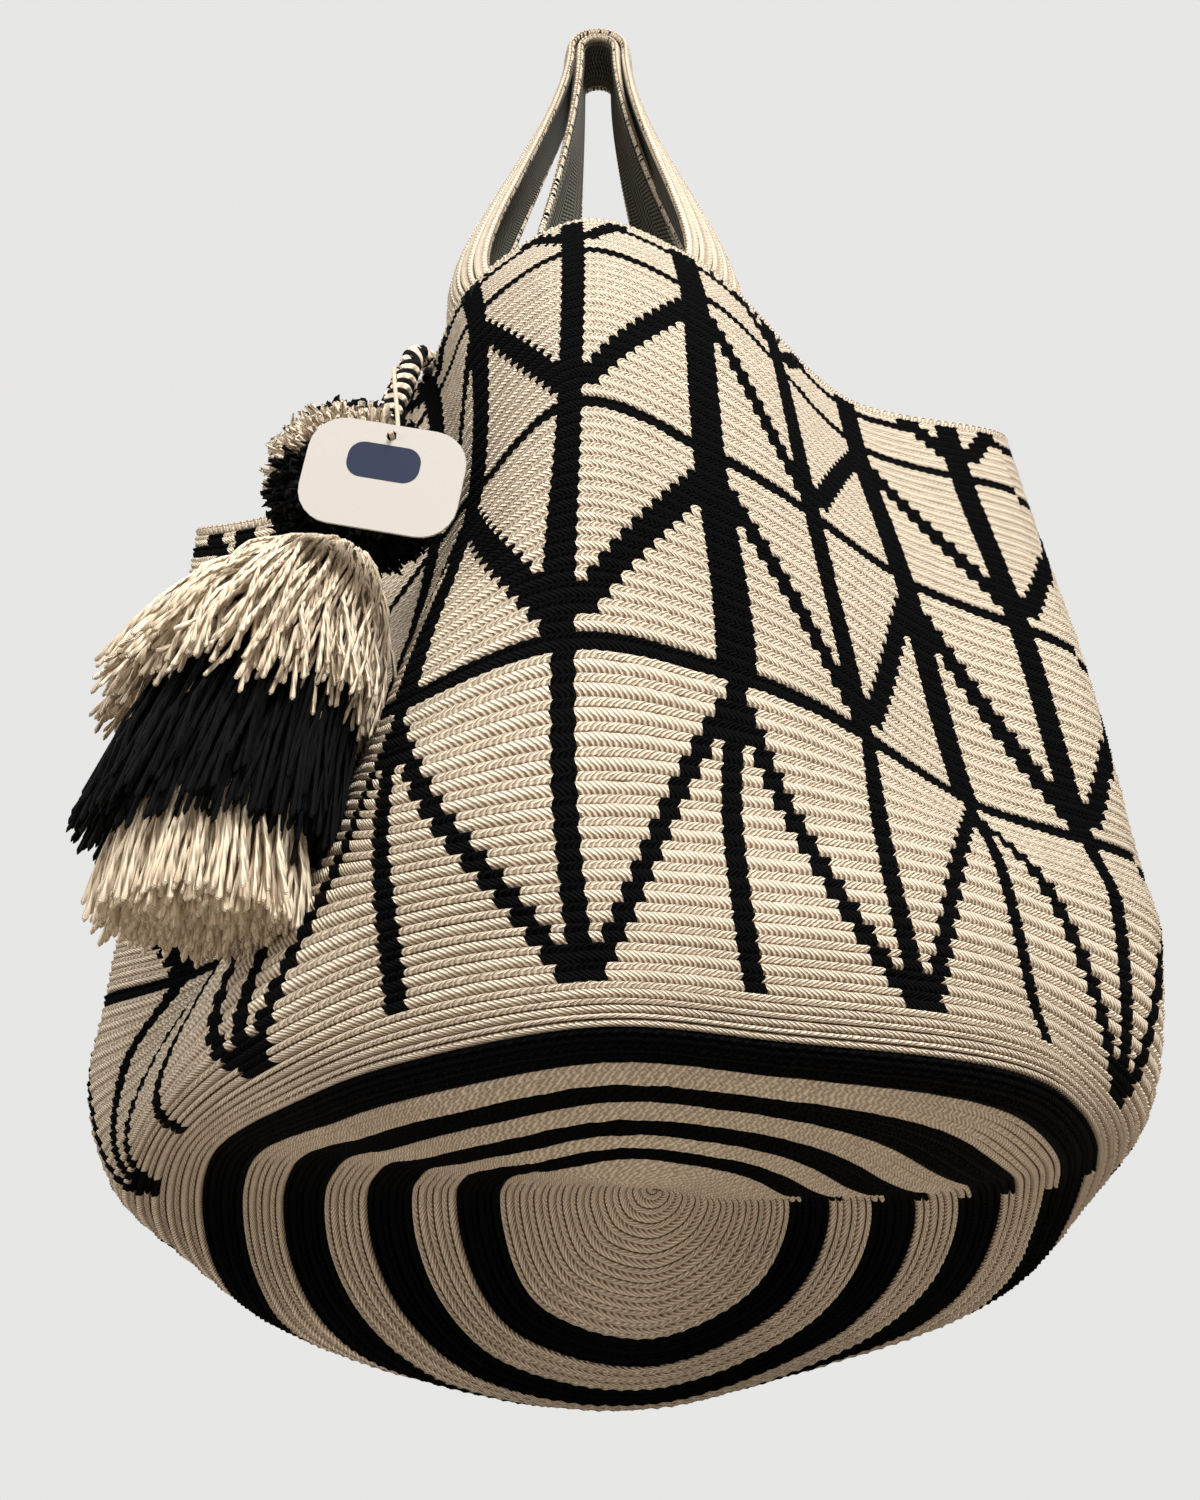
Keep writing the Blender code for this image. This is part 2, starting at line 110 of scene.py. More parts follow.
# The net's pieces, with the rounds that each one holds
NET_PIECES = (("net_base", 0, 35), ("net_lower_wall", 35, 52), ("net_middle_wall", 52, 69),
              ("net_upper_wall", 69, ROUNDS))

# One stitch: height out of the net at places up its row, and the sideways lean of its outline there
STITCH_PLACES = np.array((-0.07, 0.15, 0.50, 0.63, 0.74, 0.88, 1.02))
STITCH_CELL = np.clip(STITCH_PLACES, 0.001, 0.999)
STITCH_HEIGHTS = np.array((-1.05, 0.40, 0.85, -0.95, 0.80, 1.10, -0.1)) * 0.001
STITCH_LEANS = np.array((0.20, 0.10, -0.12, -0.10, 0.02, 0.16, 0.22))
STITCH_DIPS = np.array((0.0, 0.12, 0.15, 0.0, 0.50, 0.50, 0.0))
STITCH_UNEVEN = 0.14

# The yarn drawn on a stitch: its strokes, the heights in a row where its parts lie, and how much painted
# shade darkens its plies, the groove under its chain and the foot of its band
STROKES = 2.0
BAND_SLANT = 3.4
CHAIN_SLANT = -4.5
STROKE_DRIFT = 0.55
CHAIN_START = (0.60, 0.66)
GROOVE_START = (0.54, 0.62)
GROOVE_END = (0.71, 0.64)
FOOT_HEIGHT = 0.40
PLY_SHADE = (0.62, 0.44)
GROOVE_SHADE = 1.25
FOOT_SHADE = 0.55

# The rope along an edge, and where it runs on the rim
ROPE_SIDES = 10
ROPE_DEPTH = 0.22
ROPE_SLANT = 0.5
ROPE_CHAIN = (0.66, 0.33)  # start and height of the chain in the crochet's rows
RIM_RADII = (WALL / 2 + 0.0010, 0.0024)
RIM_INSET = 0.45 * WALL
RIM_DROP = 0.0004
RIM_STEPS = 4

# The handles, as in the part
HOOK_RADIUS = 0.0058
BAND = 0.003
LINING = 0.0008
GAP = 0.0004
LINING_INSET = 0.05
HOOK_REACH = 0.027
CURL = 0.0025
SEAM_ROW = 91.5
SEAM_CLEARANCE = 0.0008
FRONT_PULLS = (0.12, 0.12)
REAR_PULLS = (0.06, 0.30)
FRONT_ENDS = ((-0.8, -2.2), (1.05, 2.35))
REAR_ENDS = ((9.15, 8.4), (6.75, 7.55))

# How far a leg's near edge, middle and far edge bow outwards above the net
FRONT_BOWS = (0.0070, 0.0055, -0.0150)
REAR_BOWS = (0.0020, 0.0, 0.0)
BOW_PEAK = 0.25            # where the bow is widest, from the net at 0 to the hook at 1
BAND_LINES = 46
SEAM_STEPS = 5
LEG_STEPS = 60
HOOK_STEPS = 36

# The handles' rows, roped edges and webbing
HANDLE_ROWS = 9
STITCH_WIDTH = 0.00295
STITCH_SINK = 0.0004       # how deep the handle's stitches lie in its band
BACK_INSET = 0.0003
BACK_LINES = 10
BACK_TONE = 0.3
BAND_EDGES = ((0.0, 0.02), (1.0, 0.98))    # each edge's place across the band, and a place beside it
EDGE_RADII = (0.0015, BAND / 2 + 0.0002)
WEBBING_LINES = 24
CHEVRON_WIDTH = 0.0042
RIB_WIDTH = 0.0024
THREAD_WIDTH = 0.0012

# Black sewing stitches on the handles' edges, and those that hold their ends
SEWN_SHARE = 0.35
SEWN_PLACE = 0.4
SEWN_LEAN = 0.25
SEWN_WIDTH = 0.2
SEWN_SIDE = -0.3
SEAM_ROWS = (92.3, 94.3)
SEAM_STITCHES = 9
SEAM_POINTS = 6
SEAM_YARN = 0.0006
SEAM_SLANT = (-0.03, 0.03)
SEAM_WANDER = (0.05, 0.3)  # columns and rows
SEAM_HEIGHT = 0.0011
SEAM_ARCH = (-0.3, 3.4)

# The tassel and the tag, as in the part
KNOT = (-0.0648, -0.0499, -0.2752)
KNOT_RADIUS = 0.006
CORD_DIAMETER = 0.0085
POMPOM_CENTRE = (-0.0700, -0.0855, -0.3655)
POMPOM_RADIUS = 0.0260
UPPER_TOP = (-0.0730, -0.0870, -0.3919)
UPPER_FOOT = (-0.0895, -0.0925, -0.4440)
MIDDLE_FOOT = (-0.0920, -0.0930, -0.4780)
LOWER_FOOT = (-0.0905, -0.0930, -0.5000)
TAG_SIZE = (0.0400, 0.0285)
TAG_THICKNESS = 0.0008
TAG_CENTRE = (-0.0530, -0.1235, -0.3935)
TAG_LEAN = math.radians(15)
TAG_TURN = math.radians(10)
TAG_HOLE_EDGE = 0.0030
STRING_DIAMETER = 0.0012
STRING_HEIGHT = 0.35
STRING_BOW = (0.0005, -0.0080, 0.0060)

# Loose yarn, with plies to a metre and shares of its thickness at its start, near its end and at it
YARN_RADIUS = 0.00062
YARN_TURNS = 300
YARN_ENDS = (0.3, 1.1, 0.25)
YARN_UNEVEN = 0.3
BLUNT_END = 0.993

# The skirts, each hollow up to a share of its radius
SKIRTS = (
    {"tier": "upper", "colour": "cream", "top": UPPER_TOP, "foot": UPPER_FOOT, "yarns": 520, "points": 12,
     "tie_radius": 0.010, "foot_radius": 0.035, "ragged": 0.0040, "wave_size": 0.0020, "hollow": 0.70},
    {"tier": "middle", "colour": "black", "top": UPPER_TOP, "foot": MIDDLE_FOOT, "yarns": 800, "points": 10,
     "tie_radius": 0.008, "foot_radius": 0.030, "ragged": 0.0036, "wave_size": 0.0014, "hollow": 0.35},
    {"tier": "lower", "colour": "cream", "top": UPPER_FOOT, "foot": LOWER_FOOT, "yarns": 800, "points": 10,
     "tie_radius": 0.012, "foot_radius": 0.024, "ragged": 0.0012, "wave_size": 0.0012, "hollow": 0.0},
)
SKIRT_BEND = 0.45          # where the yarns turn down, from the tie at 0 to the foot at 1
SKIRT_BULGE = 0.72
SKIRT_LIFT = 0.35
SKIRT_WANDER = 0.0012
SKIRT_DARKEST = 0.35

# The pompom's tufts, and the levels and side between which they are cream
TUFTS = 2000
TUFT_RADIUS = 0.0007
TUFT_POINTS = 4
TUFT_START = 0.62
TUFT_BLUNT = 0.96
TUFT_REACH = (0.95, 0.035)
TUFT_SCATTER = 0.07
TUFT_WANDER = 0.0006
TUFT_DARKEST = 0.3
CREAM_LEVELS = (-0.02, 0.62)
CREAM_TILT = 0.12
CREAM_MIX = 0.05
CREAM_SIDE = 0.55
CORE_SHARE = 0.8
CORE_LINES = 13
CORE_PLACES = 25

# The cord: which strands are cream, how they wind, and its arch at the net
CORD_CREAM = (1, 0, 1, 0)
CORD_TONE = 0.8
CORD_SIDES = 8
CORD_PITCH = 0.016
CORD_OFFSET = 0.0023
ARCH_OFFSET = 0.0021
ARCH_RADIUS = 0.0019
ARCH_INWARD = (0.55, 0.80, 0.0)
# Along the cord and inwards from the knot
ARCH_MARKS = ((0.002, 0.0), (0.0075, 0.0035), (0.006, 0.0085), (-0.003, 0.0105))

# The plain mark on the card
PRINT_SIZE = (0.0185, 0.0095)
PRINT_CORNER = 0.0040
PRINT_CENTRE = (-0.0005, 0.0038)
PRINT_THICKNESS = 0.00003
PRINT_RISE = 0.00004

# Colours
# The light colours are the yarns lit; the dark ones are their painted shade in grooves and between plies, and
# also the dark end of their random tone and fibre noise
CREAM_LIGHT = (0.91, 0.79, 0.62)
CREAM_SHADE_AND_DARK_TONE = (0.17, 0.105, 0.060)
YARN_SHADE_AND_DARK_TONE = (0.50, 0.39, 0.27)
BLACK_LIGHT = (0.0036, 0.0036, 0.0040)
BLACK_SHADE_AND_DARK_TONE = (0.0012, 0.0012, 0.0015)
# Olive webbing from lit down to its painted shade, nearly black, which is also the dark end of its noise
OLIVE_LIGHT = (0.150, 0.142, 0.105)
OLIVE_SHADE_AND_DARK_TONE = (0.005, 0.0055, 0.0045)
CARD_WHITE = (0.50, 0.47, 0.43)
CARD_BLUE = (0.006, 0.014, 0.042)

# Camera, lamps and surroundings
CAMERA_PLACE = (0.001, -0.345, -0.588)
CAMERA_TILT = math.radians(118)
SENSOR_WIDTH = 36
LENS = 34.65
LAMP_TARGET = (0, -0.05, -0.42)
# Each lamp's name, place, size and power
LAMPS = (("key", (0.55, -1.7, 0.85), 1.1, 84),
         ("fill", (-1.5, -0.9, -0.1), 1.6, 15),
         ("rear", (0.4, 1.6, 0.9), 1.6, 42))
WORLD_COLOUR = (1.0, 0.935, 0.865)
WORLD_STRENGTH = 0.33
BACKDROP = (0.80, 0.795, 0.79)
FLOOR_HEIGHT = -0.78
FLOOR_RADIUS = 1.15
FLOOR_FADE = (0.35, 1.1)
FLOOR_SEEN = (0.42, 0.417, 0.413)
FLOOR_BOUNCE = (0.34, 0.30, 0.26)


# Camera and lamps

def add_camera():
    data = bpy.data.cameras.new("photo_camera")
    data.sensor_fit = "HORIZONTAL"
    data.sensor_width = SENSOR_WIDTH
    data.lens = LENS
    data.clip_start = 0.01
    camera = bpy.data.objects.new("photo_camera", data)
    camera.location = CAMERA_PLACE
    camera.rotation_euler = (CAMERA_TILT, 0, 0)
    bpy.context.scene.collection.objects.link(camera)
    bpy.context.scene.camera = camera


def add_lamp(name, place, size, power):
    data = bpy.data.lights.new(name, "AREA")
    data.shape = "DISK"
    data.size = size
    data.energy = power
    lamp = bpy.data.objects.new(name, data)
    lamp.location = place
    lamp.rotation_euler = (Vector(LAMP_TARGET) - lamp.location).to_track_quat("-Z", "Y").to_euler()
    bpy.context.scene.collection.objects.link(lamp)


# Node helpers

def new_material(name, roughness, specular):
    made = bpy.data.materials.new(name)
    made.use_nodes = True
    tree = made.node_tree
    shader = tree.nodes["Principled BSDF"]
    shader.inputs["Roughness"].default_value = roughness
    shader.inputs["Specular IOR Level"].default_value = specular
    return made, tree, shader


def add_node(tree, kind, inputs=(), **settings):
    """A node with its settings, and each input linked to a socket or set to a value."""
    made = tree.nodes.new(kind)
    for key, value in settings.items():
        setattr(made, key, value)
    for key, value in dict(inputs).items():
        if isinstance(value, bpy.types.NodeSocket):
            tree.links.new(value, made.inputs[key])
        elif value is not None:
            made.inputs[key].default_value = value
    return made


def calc(tree, operation, a, b=None, c=None):
    return add_node(tree, "ShaderNodeMath", {0: a, 1: b, 2: c}, operation=operation).outputs[0]


def soft_step(tree, value, low, high):
    made = add_node(tree, "ShaderNodeMapRange", {"Value": value, "From Min": low, "From Max": high},
                    interpolation_type="SMOOTHSTEP")
    return made.outputs[0]


def blend_colours(tree, factor, first, second, mode="MIX"):
    made = add_node(tree, "ShaderNodeMix", data_type="RGBA", blend_type=mode)
    for socket, value in ((made.inputs[0], factor), (made.inputs[6], first), (made.inputs[7], second)):
        if isinstance(value, bpy.types.NodeSocket):
            tree.links.new(value, socket)
        elif isinstance(value, float):
            socket.default_value = value
        else:
            socket.default_value = (*value, 1)
    return made.outputs[2]


def object_noise(tree, scale, detail=2.0):
    place = add_node(tree, "ShaderNodeTexCoord").outputs["Object"]
    made = add_node(tree, "ShaderNodeTexNoise", {"Vector": place, "Scale": scale, "Detail": detail})
    return made.outputs["Fac"]


def wave(tree, phase):
    """A smooth wave from 0 to 1, once for each whole number of the phase."""
    turns = calc(tree, "MULTIPLY", phase, 2 * math.pi)
    return calc(tree, "MULTIPLY_ADD", calc(tree, "SINE", turns), 0.5, 0.5)


def stitch_map(tree):
    """The two directions of the UV map that each worked piece has."""
    uv = add_node(tree, "ShaderNodeUVMap", uv_map="stitches").outputs[0]
    return add_node(tree, "ShaderNodeSeparateXYZ", {0: uv}).outputs[:2]


def face_tint(tree):
    """How cream each face is, and its own shade."""
    tint = add_node(tree, "ShaderNodeVertexColor", layer_name="yarn").outputs["Color"]
    return add_node(tree, "ShaderNodeSeparateColor", {0: tint}).outputs[:2]


def colour_into(tree, shader, colour):
    tree.links.new(colour, shader.inputs["Base Color"])


def bump_into(tree, shader, height, depth, strength):
    bump = add_node(tree, "ShaderNodeBump", {"Height": height, "Distance": depth, "Strength": strength})
    tree.links.new(bump.outputs[0], shader.inputs["Normal"])


# Materials

def crochet_material():
    """Cream and black yarn: slanted strokes in each row's band, and a twisted chain above it, with painted
    shade between the plies, in the groove under each chain and towards the foot of each band.
    """
    made, tree, shader = new_material("crochet", 0.95, 0.05)
    along, up = stitch_map(tree)
    height = calc(tree, "FRACT", up)
    drift = calc(tree, "MULTIPLY", object_noise(tree, 900), STROKE_DRIFT)
    waves = []
    for slant in (BAND_SLANT, CHAIN_SLANT):
        lean = calc(tree, "MULTIPLY", height, slant)
        waves.append(wave(tree, calc(tree, "ADD", calc(tree, "MULTIPLY_ADD", along, STROKES, lean), drift)))
    band, chain = waves
    in_chain = soft_step(tree, height, *CHAIN_START)
    plies = calc(tree, "ADD",
                 calc(tree, "MULTIPLY", band, calc(tree, "SUBTRACT", 1.0, in_chain)),
                 calc(tree, "MULTIPLY", chain, in_chain))
    # Painted shade: darker between the plies, in the groove under each chain and towards the foot of each
    # band
    groove_shade = calc(tree, "MULTIPLY", soft_step(tree, height, *GROOVE_START),
                  soft_step(tree, height, *GROOVE_END))
    foot = soft_step(tree, height, FOOT_HEIGHT, 0.0)
    shade = calc(tree, "SUBTRACT", calc(tree, "MULTIPLY_ADD", plies, *PLY_SHADE),
                 calc(tree, "MULTIPLY_ADD", groove_shade, GROOVE_SHADE, calc(tree, "MULTIPLY", foot, FOOT_SHADE)))
    cream_share, stitch_tone = face_tint(tree)
    cream = blend_colours(tree, calc(tree, "MAXIMUM", shade, 0.0), CREAM_SHADE_AND_DARK_TONE, CREAM_LIGHT)
    tone = calc(tree, "MULTIPLY_ADD", stitch_tone, 0.10, 0.93)
    patches = calc(tree, "MULTIPLY_ADD", object_noise(tree, 22), 0.10, 0.95)
    level = calc(tree, "MULTIPLY", tone, patches)
    grey = add_node(tree, "ShaderNodeCombineColor", {0: level, 1: level, 2: level}).outputs[0]
    cream = blend_colours(tree, 1.0, cream, grey, "MULTIPLY")
    black = blend_colours(tree, plies, BLACK_SHADE_AND_DARK_TONE, BLACK_LIGHT)
    colour_into(tree, shader, blend_colours(tree, cream_share, black, cream))
    bump_into(tree, shader, calc(tree, "MULTIPLY_ADD", object_noise(tree, 2600), 0.35, plies), 0.00055, 0.9)
    return made


def plied_material(name, turns, ply_shade_share, depth):
    """Yarn with plies that wind round it, its mix of painted shade between the plies and each face's own
    tone, and how cream each face is.
    """
    made, tree, shader = new_material(name, 0.9, 0.15)
    around, along = stitch_map(tree)
    cream_share, tone = face_tint(tree)
    plies = wave(tree, calc(tree, "MULTIPLY_ADD", around, turns, along))
    # Painted shade between the plies, mixed with the face's own random tone
    mixed = calc(tree, "MULTIPLY_ADD", plies, ply_shade_share, calc(tree, "MULTIPLY", tone, 1 - ply_shade_share))
    bump_into(tree, shader, plies, depth, 0.8)
    return made, tree, shader, mixed, cream_share


def yarn_material(name, deep, light):
    """Loose yarn of one colour, with painted shade between its plies."""
    made, tree, shader, mixed, _ = plied_material(name, 2.0, 0.35, 0.0003)
    colour_into(tree, shader, blend_colours(tree, mixed, deep, light))
    return made


def two_colour_material(name):
    """Cream or black yarn by the piece's own colour layer, with painted shade between its plies."""
    made, tree, shader, mixed, cream_share = plied_material(name, 3.0, 0.4, 0.0004)
    cream = blend_colours(tree, mixed, CREAM_SHADE_AND_DARK_TONE, CREAM_LIGHT)
    black = blend_colours(tree, mixed, BLACK_SHADE_AND_DARK_TONE, BLACK_LIGHT)
    colour_into(tree, shader, blend_colours(tree, cream_share, black, cream))
    return made


def webbing_material():
    """Herringbone twill: slanted ribs that turn back at each chevron, with painted shade between the ribs and
    threads that takes the olive nearly to black.
    """
    made, tree, shader = new_material("olive_webbing", 0.8, 0.25)
    along, across = stitch_map(tree)
    chevron = calc(tree, "PINGPONG", across, CHEVRON_WIDTH)
    ribs = wave(tree, calc(tree, "MULTIPLY", calc(tree, "ADD", along, chevron), 1 / RIB_WIDTH))
    threads = wave(tree, calc(tree, "MULTIPLY", across, 1 / THREAD_WIDTH))
    weave = calc(tree, "MULTIPLY_ADD", threads, 0.3, calc(tree, "MULTIPLY", ribs, 0.7))
    # Painted shade between ribs and threads, with fine noise added, sets how far the colour falls towards
    # near black
    weave_shade = calc(tree, "MULTIPLY_ADD", weave, 1.1, -0.3)
    rough = calc(tree, "MULTIPLY_ADD", object_noise(tree, 700), 0.3, weave_shade)
    colour_into(tree, shader, blend_colours(tree, rough, OLIVE_SHADE_AND_DARK_TONE, OLIVE_LIGHT))
    bump_into(tree, shader, weave, 0.0004, 0.9)
    return made


def plain_yarn_material(name, deep, light):
    """For pieces with no UV map: fine fibres by noise alone."""
    made, tree, shader = new_material(name, 0.92, 0.12)
    fibres = object_noise(tree, 2200, 3.0)
    colour_into(tree, shader, blend_colours(tree, fibres, deep, light))
    bump_into(tree, shader, fibres, 0.0003, 0.7)
    return made


def card_material(name, colour):
    made, tree, shader = new_material(name, 0.62, 0.35)
    fibres = object_noise(tree, 1500, 4.0)
    dim = tuple(0.94 * value for value in colour)
    colour_into(tree, shader, blend_colours(tree, fibres, dim, colour))
    bump_into(tree, shader, fibres, 0.00005, 0.5)
    return made


# Curves and surfaces

def between(first, second, leaving, arriving, t):
    """A smooth way from one point to the next with the given slopes, at shares t of it."""
    return ((2 * t**3 - 3 * t**2 + 1) * first + (t**3 - 2 * t**2 + t) * leaving
            + (3 * t**2 - 2 * t**3) * second + (t**3 - t**2) * arriving)


def locate(knots, at):
    """The span of knots that each place falls in, its length, and the place's share of it."""
    index = np.clip(np.searchsorted(knots, at, side="right") - 1, 0, len(knots) - 2)
    span = (knots[index + 1] - knots[index])[..., None]
    return index, span, (at - knots[index])[..., None] / span


def cubic(knots, values, at, period=None):
    """Smooth curve through values at knots, read at the given places."""
    knots = np.asarray(knots, float)
    if period:
        at = np.mod(at, period)
        knots = np.concatenate([[knots[-1] - period], knots, [knots[0] + period, knots[1] + period]])
        values = np.concatenate([values[-1:], values, values[:2]])
    index, span, t = locate(knots, at)
    slopes = np.gradient(values, knots, axis=0)
    return between(values[index], values[index + 1], slopes[index] * span, slopes[index + 1] * span, t)


def travel_along(points):
    """Distance travelled at each point of a line."""
    return np.concatenate([[0], np.cumsum(np.linalg.norm(np.diff(points, axis=0), axis=1))])


def scaled_cage():
    cage = np.array(CAGE, float)
    drawn = np.ptp(cage, axis=(0, 1))
    cage *= np.array([BAG_WIDTH, BAG_DEPTH, BAG_HEIGHT]) / drawn
    cage[..., 2] -= HANG_DROP
    return cage


NET_CAGE = scaled_cage()


def net_surface(columns, rows):
    """Points of the net's outside at pairs of a column and a row."""
    columns, rows = np.broadcast_arrays(np.asarray(columns, float), np.asarray(rows, float))
    shape = columns.shape
    columns = columns.ravel()
    rows = rows.ravel()
    rings = np.stack([cubic(CAGE_COLUMNS, ring, columns, COLUMNS) for ring in NET_CAGE])
    knots = np.asarray(CAGE_ROWS, float)
    slopes = np.gradient(rings, knots, axis=0)
    index, span, t = locate(knots, rows)
    pick = np.arange(len(rows))
    points = between(rings[index, pick], rings[index + 1, pick],
                     slopes[index, pick] * span, slopes[index + 1, pick] * span, t)
    side = np.abs(np.mod(columns + COLUMNS / 2, COLUMNS) - COLUMNS / 2)
    across = np.exp(-((side - CREASE_COLUMN) / CREASE_SPREAD) ** 2)
    along = np.clip((rows - CREASE_ROWS[0]) / (CREASE_ROWS[1] - CREASE_ROWS[0]), 0, 1)
    points[:, 2] += CREASE_LIFT * np.sin(np.pi * along) * across
    return points.reshape(shape + (3,))


def normals_of(grid):
    """Direction square to a grid of points that run up and then along."""
    outs = np.cross(np.gradient(grid, axis=-2), np.gradient(grid, axis=-3))
    return outs / np.maximum(np.linalg.norm(outs, axis=-1, keepdims=True), 1e-12)


# Meshes from grids of points

def uv_grid(across, up):
    return np.stack(np.broadcast_arrays(across, up), axis=-1)


class Patchwork:
    """Gathers grids of points into one mesh with a UV map and a colour for each face."""

    def __init__(self):
        self.points = []
        self.quads = []
        self.uvs = []
        self.tints = []
        self.count = 0

    def add(self, grid, uv, tint, flip=False):
        """grid and uv have a line of points for each step up; tint has a colour for each face."""
        lines, places = grid.shape[:2]
        index = self.count + np.arange(lines * places).reshape(lines, places)
        corners = (index[:-1, :-1], index[:-1, 1:], index[1:, 1:], index[1:, :-1])
        quads = np.stack(corners, axis=-1).reshape(-1, 4)
        if flip:
            quads = quads[:, ::-1]
        self.points.append(grid.reshape(-1, 3))
        self.quads.append(quads)
        self.uvs.append(uv.reshape(-1, 2))
        self.tints.append(np.broadcast_to(tint, (lines - 1, places - 1, 2)).reshape(-1, 2))
        self.count += lines * places

    def build(self, name, finish):
        points = np.concatenate(self.points)
        quads = np.concatenate(self.quads)
        uvs = np.concatenate(self.uvs)
        tints = np.concatenate(self.tints)
        mesh = bpy.data.meshes.new(name)
        mesh.vertices.add(len(points))
        mesh.vertices.foreach_set("co", points.ravel())
        mesh.loops.add(quads.size)
        mesh.loops.foreach_set("vertex_index", quads.ravel())
        mesh.polygons.add(len(quads))
        mesh.polygons.foreach_set("loop_start", np.arange(len(quads)) * 4)
        mesh.update(calc_edges=True)
        mesh.uv_layers.new(name="stitches").data.foreach_set("uv", uvs[quads.ravel()].ravel())
        layer = mesh.color_attributes.new("yarn", "FLOAT_COLOR", "CORNER")
        colours = np.ones((len(quads), 4, 4))
        colours[..., :2] = tints[:, None, :]
        layer.data.foreach_set("color", colours.ravel())
        mesh.shade_smooth()
        mesh.materials.append(finish)
        made = bpy.data.objects.new(name, mesh)
        bpy.context.scene.collection.objects.link(made)
        return made


def wear(piece, body, material_slot, *nodes):
    """Fix a piece to its body, in place of the CAD nodes that it stands for; its material slot is not used.
    """
    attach(piece, body)
    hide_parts(*nodes)


# The net's pattern

def is_cream(stitch, round_index):
    """Whether a stitch of the net is cream; stitches count from the front column, rounds from the base."""
    if round_index < BASE_ROUNDS:
        in_ring = any(low <= round_index < high for low, high in BASE_BLACK)
        return np.full(stitch.shape, not in_ring)
    centre = stitch + 0.5
    from_even = np.mod(centre + COLUMN_STITCHES, 2 * COLUMN_STITCHES) - COLUMN_STITCHES
    from_odd = np.mod(centre, 2 * COLUMN_STITCHES) - COLUMN_STITCHES
    wider = 1 if round_index > RING_ROUNDS[0] else 0
    black = (from_even > -1 - wider) & (from_even < 1)
    black |= (from_odd > -1 - wider) & (from_odd < 1 + wider)
    if round_index in RING_ROUNDS:
        black[:] = True
    for bottom, top in zip(TIER_BOTTOMS, TIER_TOPS):
        step = round_index - bottom
        if 0 <= step and round_index < top:
            reach = np.floor(np.abs(from_even))
            black |= (reach >= step) & (reach <= step + 1 + wider)
    if round_index == RIM_LINE:
        black |= np.abs(from_even) > RIM_LINE_GAP
    return ~black


def shape_row(rounds):
    return np.interp(rounds, ROUND_MARKS, SHAPE_MARKS)


def stitches_in(round_index):
    """The base's rounds grow evenly, and the wall's are alike."""
    if round_index >= BASE_ROUNDS:
        return ROUND_STITCHES
    return max(FEWEST_STITCHES, round(ROUND_STITCHES * (round_index + 1) / (BASE_ROUNDS + 1)))


def stitch_relief(count):
    """Height of a row of stitches at places up it, lower between one stitch and the next."""
    between_stitches = np.mod(np.arange(2 * count + 1), 2) == 0
    return STITCH_HEIGHTS[:, None] * (1 - STITCH_DIPS[:, None] * between_stitches)


def add_round(patch, round_index):
    """One round of stitches, worked as part of the spiral from its start column."""
    count = stitches_in(round_index)
    places = np.arange(2 * count + 1) / 2
    step = np.clip((ROUNDS - round_index) / (ROUNDS - SPIRAL_FADE), 0, 1)
    along = places[None, :] + STITCH_LEANS[:, None]
    columns = SPIRAL_COLUMN + along * COLUMNS / count
    rounds = round_index + STITCH_PLACES[:, None] + step * (along / count - 0.5)
    grid = net_surface(columns, shape_row(np.clip(rounds, ROUND_MARGIN, ROUNDS + ROUND_MARGIN)))
    uneven = 1 + STITCH_UNEVEN * rng.standard_normal(count + 1)
    uneven[-1] = uneven[0]
    relief = stitch_relief(count) * np.interp(places, np.arange(count + 1), uneven)
    grid = grid + normals_of(grid) * (relief * min(1, count / FINE_ROUND))[..., None]
    stitch = np.arange(count)
    if round_index >= BASE_ROUNDS:
        stitch = np.mod(stitch + round(SPIRAL_COLUMN * COLUMN_STITCHES), ROUND_STITCHES)
    tint = np.stack([is_cream(stitch, round_index).astype(float), rng.random(count)], axis=-1)
    patch.add(grid, uv_grid(places[None, :], round_index + STITCH_CELL[:, None]),
              np.repeat(tint, 2, axis=0)[None])


def make_net(finish):
    for name, first, last in NET_PIECES:
        patch = Patchwork()
        for round_index in range(first, last):
            add_round(patch, round_index)
        wear(patch.build(name, finish), "bag", "cream_crochet", "bag_net")


def make_net_inside(finish):
    """The back of the stitches, smoother, with the same pattern."""
    rounds = np.arange(ROUNDS + 1)
    places = np.arange(ROUND_STITCHES + 1.0)
    columns = places * COLUMNS / ROUND_STITCHES
    grid = net_surface(columns[None, :], shape_row(np.clip(rounds, INSIDE_START, ROUNDS))[:, None])
    grid = grid - normals_of(grid) * (WALL - INSIDE_INSET)
    tint = np.zeros((ROUNDS, ROUND_STITCHES, 2))
    for round_index in range(ROUNDS):
        tint[round_index, :, 0] = is_cream(places[:-1], round_index)
        tint[round_index, :, 1] = rng.random(ROUND_STITCHES)
    patch = Patchwork()
    patch.add(grid, uv_grid(places[None, :], rounds[:, None]), tint, flip=True)
    wear(patch.build("net_inside", finish), "bag", "cream_crochet", "bag_net")


# Ropes

